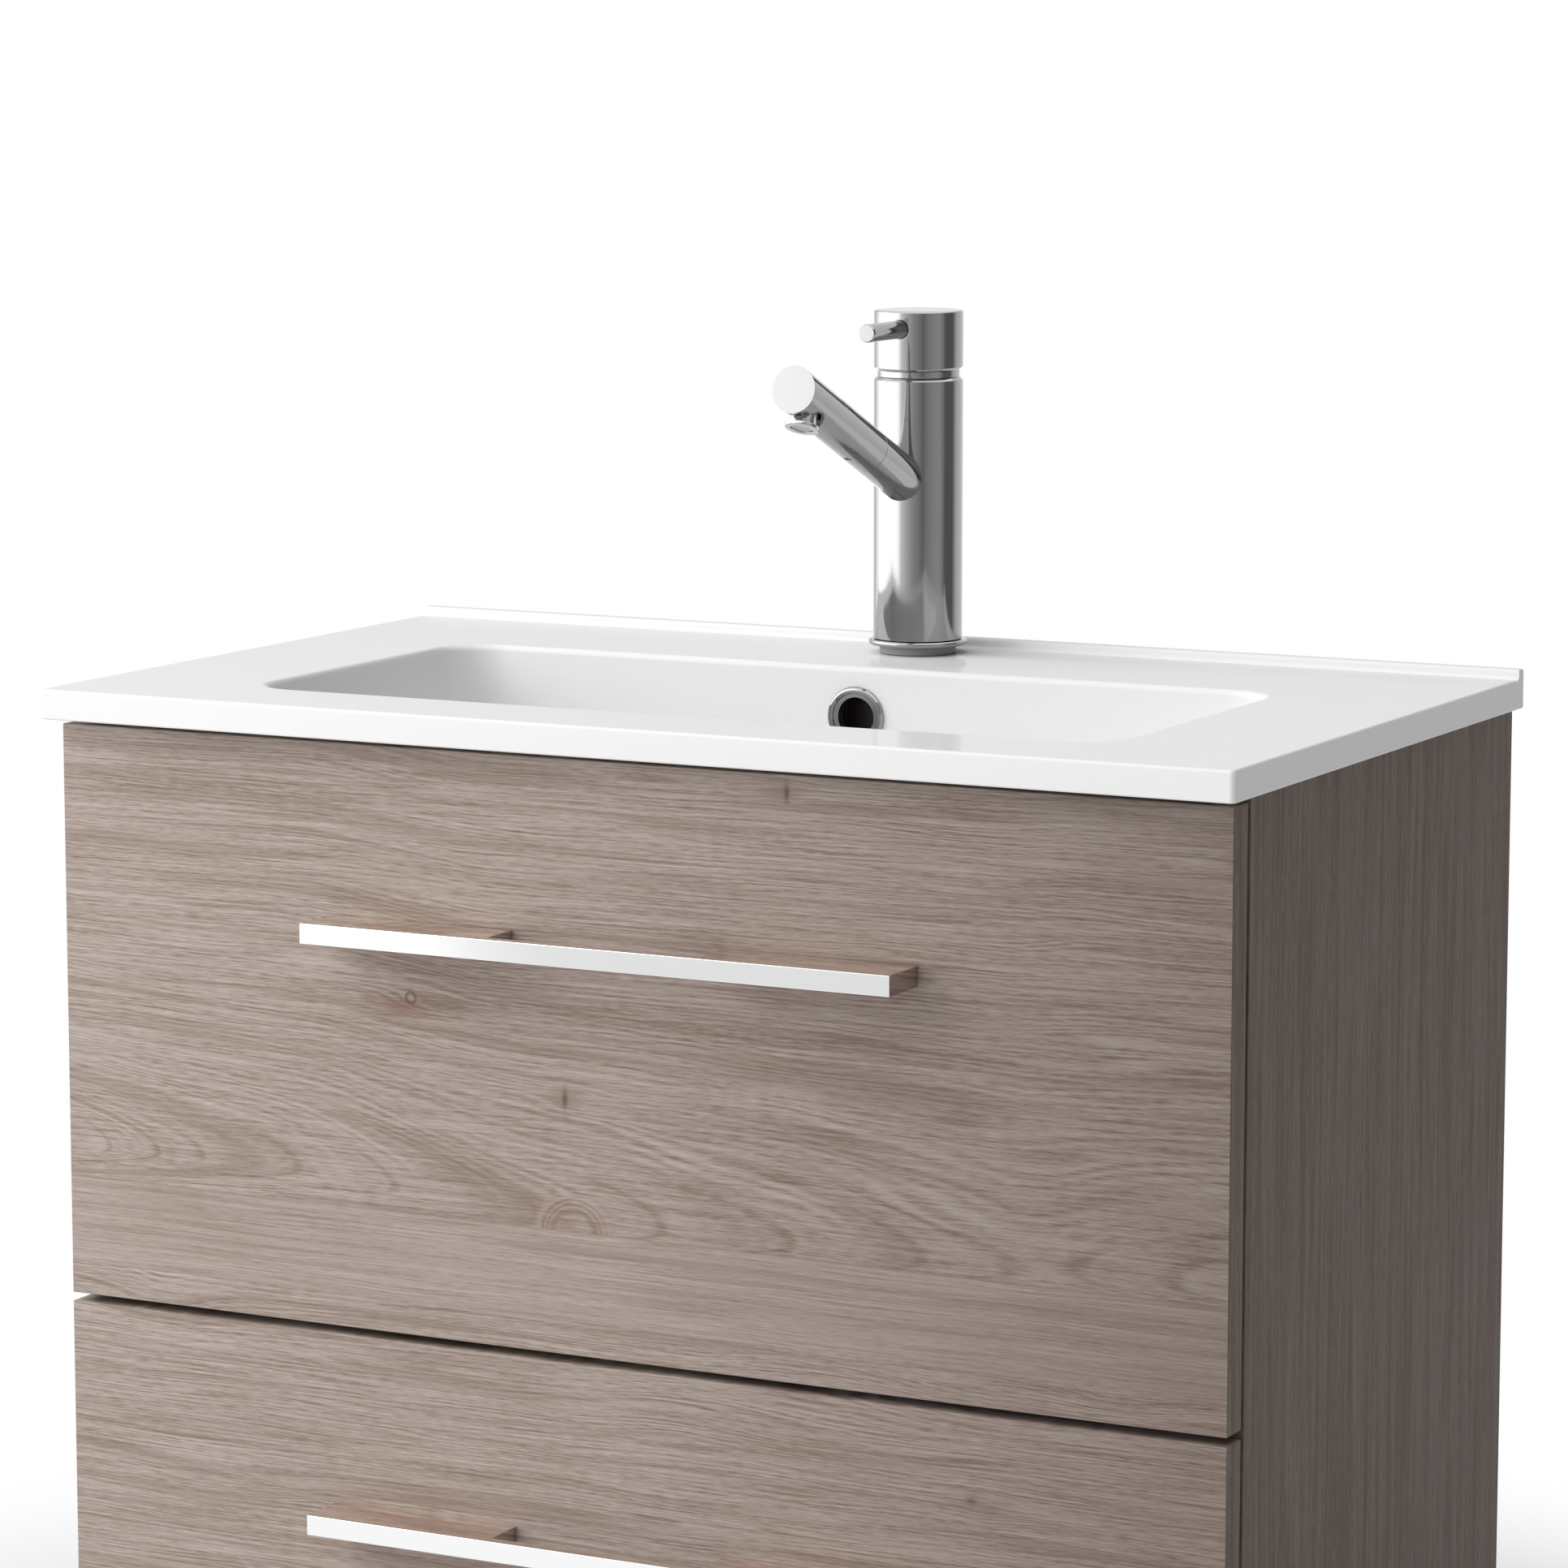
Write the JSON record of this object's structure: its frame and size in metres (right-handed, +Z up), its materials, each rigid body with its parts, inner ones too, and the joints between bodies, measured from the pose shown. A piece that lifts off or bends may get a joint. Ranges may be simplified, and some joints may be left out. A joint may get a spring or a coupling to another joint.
{
  "type": "wall-hung washstand with slab basin and mixer tap",
  "caption": "Compact wall-hung bathroom cabinet with wood-grain drawers, chrome bar handles, a white ceramic slab basin and a chrome single-lever mixer tap.",
  "frame": {"origin": "centre of the bounding box, on the flat underside of the cabinet", "axes": "+X to the right seen from the front, +Y from the drawer fronts towards the wall, +Z up"},
  "size_m": [0.61, 0.3778, 0.7448],
  "materials": {
    "wood_front": "matt laminate with a fine horizontal grain",
    "wood_side": "matt laminate with a fine vertical grain",
    "drawer_board": "matt grey laminate",
    "ceramic": "white gloss glaze",
    "chrome": "polished",
    "steel": "zinc plated",
    "brass": "machined",
    "rubber": "matt black",
    "plastic": "moulded"
  },
  "bodies": {
    "cabinet": {"side_panel_left": "wood_side", "side_panel_right": "wood_side", "bottom_panel": "wood_side", "front_rail": "steel", "top_rear_rail": "wood_side", "lower_rear_rail": "wood_side", "wall_rail": "steel", "hanger_left": "steel", "hanger_right": "steel", "upper_cabinet_runner_left": "steel", "upper_cabinet_runner_right": "steel", "lower_cabinet_runner_left": "steel", "lower_cabinet_runner_right": "steel", "basin": "ceramic", "overflow_ring": "chrome", "waste_body": "chrome", "waste_guide": "brass", "waste_seal": "rubber", "waste_nut": "brass", "trap_inlet_nut": "chrome", "trap_inlet_pipe": "chrome", "trap_body": "chrome", "trap_cup": "chrome", "trap_outlet_nut": "chrome", "trap_outlet_pipe": "chrome", "wall_flange": "chrome", "mixer_gasket": "rubber", "mixer_base_ring": "chrome", "mixer_body": "chrome", "fixing_stud": "steel", "fixing_washer": "steel", "fixing_nut": "brass", "spout": "chrome", "spout_set_screw": "steel", "aerator_housing": "chrome", "aerator_core": "plastic", "mixing_cartridge": "plastic", "cartridge_nut": "brass", "neck_dome": "chrome"},
    "upper_drawer": {"upper_front": "wood_front", "upper_handle": "chrome", "upper_side_left": "drawer_board", "upper_side_right": "drawer_board", "upper_slide_left": "steel", "upper_slide_right": "steel", "upper_bottom": "drawer_board", "upper_back_surround": "drawer_board"},
    "lower_drawer": {"lower_front": "wood_front", "lower_handle": "chrome", "lower_side_left": "drawer_board", "lower_side_right": "drawer_board", "lower_slide_left": "steel", "lower_slide_right": "steel", "lower_bottom": "drawer_board", "lower_back": "drawer_board"},
    "lever_swivel": {"spindle_carrier": "brass"},
    "lever": {"lever_cap": "chrome", "lever_pin": "chrome", "spindle": "steel"},
    "plug": {"drain_plug": "chrome"}
  },
  "joints": [
    {"name": "upper_drawer_slide", "type": "slide", "parent": "cabinet", "child": "upper_drawer", "axis": [0, -1, 0], "range_m": [0, 0.225]},
    {"name": "lower_drawer_slide", "type": "slide", "parent": "cabinet", "child": "lower_drawer", "axis": [0, -1, 0], "range_m": [0, 0.225]},
    {"name": "temperature_swivel", "type": "hinge", "parent": "cabinet", "child": "lever_swivel", "pos_m": [0, 0.15038, 0.714], "axis": [0, 0, 1], "range_deg": [-45, 45]},
    {"name": "lever_lift", "type": "hinge", "parent": "lever_swivel", "child": "lever", "pos_m": [0, 0.15038, 0.714], "axis": [-1, 0, 0], "range_deg": [0, 10.5]},
    {"name": "plug_lift", "type": "slide", "parent": "cabinet", "child": "plug", "axis": [0, 0, 1], "range_m": [0, 0.008]}
  ]
}
